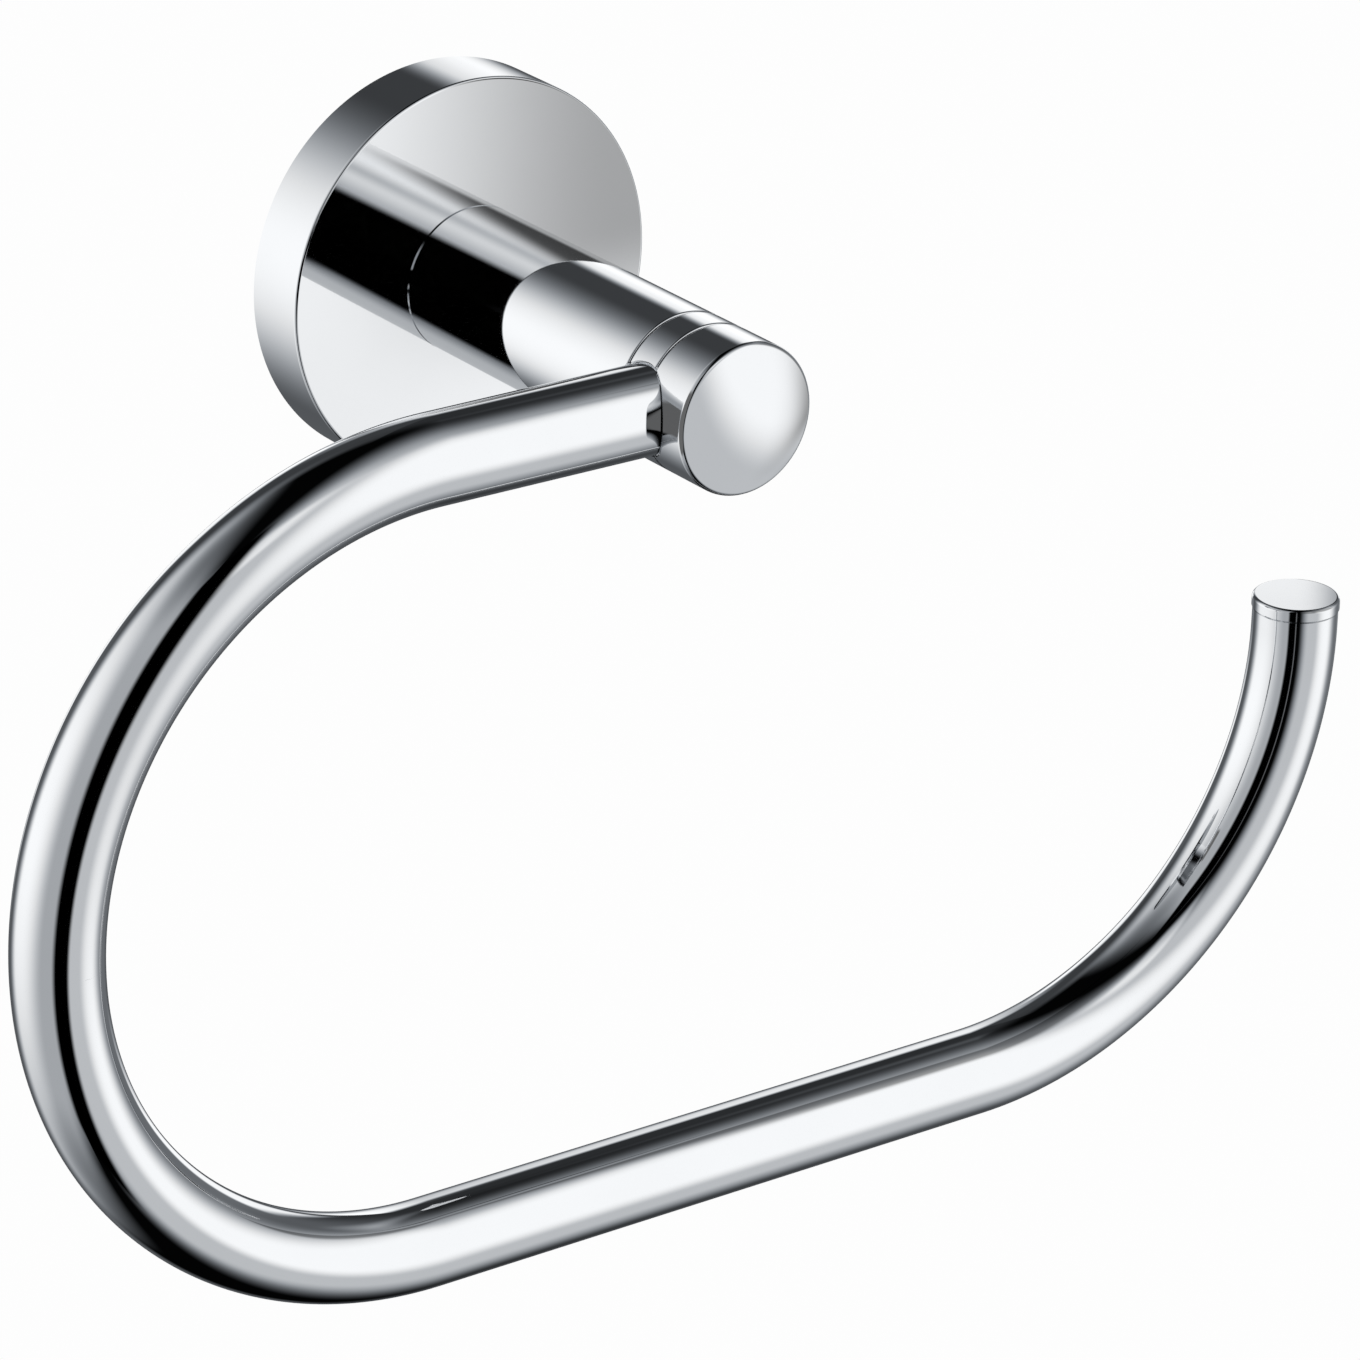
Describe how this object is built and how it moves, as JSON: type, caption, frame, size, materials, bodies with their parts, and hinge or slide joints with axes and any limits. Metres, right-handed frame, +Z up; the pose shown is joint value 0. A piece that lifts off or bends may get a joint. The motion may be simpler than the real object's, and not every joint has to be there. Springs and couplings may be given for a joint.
{
  "type": "towel holder",
  "caption": "Wall-mounted chrome towel holder: a round flange and a straight post carry an open ring of bent tube that starts at the post's side and ends free.",
  "frame": {"origin": "on the wall plane, at the centre of the bracket's back face, on the post's axis", "axes": "+Y into the wall, so the post stands out along -Y; +Z up; +X to the right seen from the front"},
  "size_m": [0.2122, 0.074, 0.144],
  "materials": {
    "chrome": "polished",
    "bracket": "zinc plated, matte",
    "screw": "bright",
    "insert": "turned"
  },
  "bodies": {
    "root": {"wall_bracket": "bracket", "flange_cover": "chrome", "flange_set_screw": "screw", "post_body": "chrome", "post_washer": "screw", "post_screw": "screw", "hub_collar": "chrome", "end_cap": "chrome", "ring_bar": "chrome", "bar_insert": "insert", "bar_set_screw": "screw", "bar_end_plug": "chrome"}
  },
  "joints": []
}
